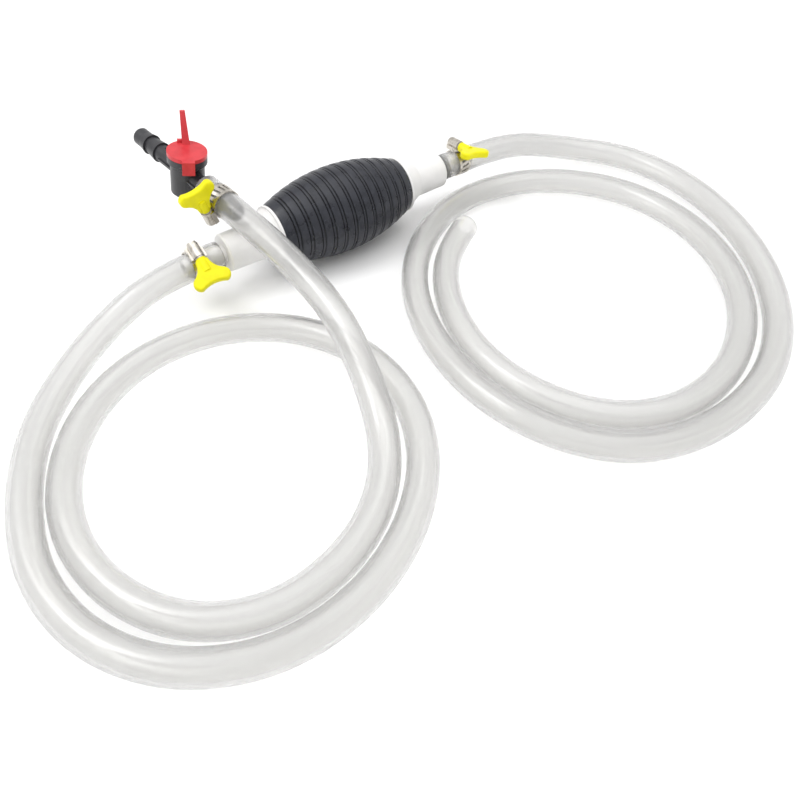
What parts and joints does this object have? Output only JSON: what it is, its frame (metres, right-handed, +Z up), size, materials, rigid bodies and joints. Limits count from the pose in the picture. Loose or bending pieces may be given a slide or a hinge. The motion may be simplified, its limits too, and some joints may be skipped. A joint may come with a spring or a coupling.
{
  "type": "hand-primed siphon",
  "caption": "Siphon with a ribbed rubber squeeze bulb between check-valve adapters, coiled clear hoses held by thumb-screw clamps, and a small tap on one hose end.",
  "frame": {"origin": "on the floor under the middle of the squeeze bulb", "axes": "+X along the bulb's axis, from the inlet adapter to the outlet adapter, which is the way the water flows; +Y to the side where the tap lies; +Z up"},
  "size_m": [0.4836, 0.355, 0.0875],
  "materials": {
    "bulb_rubber": "semi-gloss moulded",
    "white_plastic": "satin moulded",
    "clear_vinyl": "clear, slightly milky",
    "clamp_steel": "stamped stainless",
    "yellow_plastic": "moulded",
    "black_plastic": "moulded",
    "red_plastic": "moulded",
    "seal_rubber": "matte",
    "ball_rubber": "matte"
  },
  "bodies": {
    "root": {"squeeze_bulb": "bulb_rubber", "inlet_adapter": "white_plastic", "outlet_adapter": "white_plastic", "inlet_valve_seat": "seal_rubber", "inlet_valve_cage": "white_plastic", "outlet_valve_seat": "seal_rubber", "outlet_valve_cage": "white_plastic", "left_hose": "clear_vinyl", "right_hose": "clear_vinyl", "inlet_clamp_band": "clamp_steel", "inlet_clamp_housing": "clamp_steel", "outlet_clamp_band": "clamp_steel", "outlet_clamp_housing": "clamp_steel", "tap_clamp_band": "clamp_steel", "tap_clamp_housing": "clamp_steel", "tap_body": "black_plastic", "tap_clip": "clamp_steel"},
    "inlet_ball": {"inlet_valve_ball": "ball_rubber"},
    "outlet_ball": {"outlet_valve_ball": "ball_rubber"},
    "inlet_thumb_screw": {"inlet_clamp_screw": "clamp_steel", "inlet_clamp_key": "yellow_plastic"},
    "outlet_thumb_screw": {"outlet_clamp_screw": "clamp_steel", "outlet_clamp_key": "yellow_plastic"},
    "tap_thumb_screw": {"tap_clamp_screw": "clamp_steel", "tap_clamp_key": "yellow_plastic"},
    "tap_rotor": {"tap_handle": "red_plastic", "tap_plug": "black_plastic", "tap_lower_seal": "seal_rubber", "tap_upper_seal": "seal_rubber"}
  },
  "joints": [
    {"name": "tap_turn", "type": "hinge", "parent": "root", "child": "tap_rotor", "pos_m": [-0.07287, 0.04741, 0.05416], "axis": [0.1191, -0.1032, 0.9875], "range_deg": [-59, 31]},
    {"name": "inlet_screw_turn", "type": "hinge", "parent": "root", "child": "inlet_thumb_screw", "pos_m": [-0.097, -0.00553, 0.03647], "axis": [0, -0.8746, -0.4848], "continuous": true},
    {"name": "outlet_screw_turn", "type": "hinge", "parent": "root", "child": "outlet_thumb_screw", "pos_m": [0.097, 0.0006, 0.03788], "axis": [0, -0.9986, 0.0523], "continuous": true},
    {"name": "tap_screw_turn", "type": "hinge", "parent": "root", "child": "tap_thumb_screw", "pos_m": [-0.07918, 0.01297, 0.04644], "axis": [-0.308, -0.1539, 0.9388], "continuous": true},
    {"name": "inlet_ball_lift", "type": "slide", "parent": "root", "child": "inlet_ball", "axis": [1, 0, 0], "range_m": [0, 0.0025]},
    {"name": "outlet_ball_lift", "type": "slide", "parent": "root", "child": "outlet_ball", "axis": [1, 0, 0], "range_m": [0, 0.0025]}
  ]
}
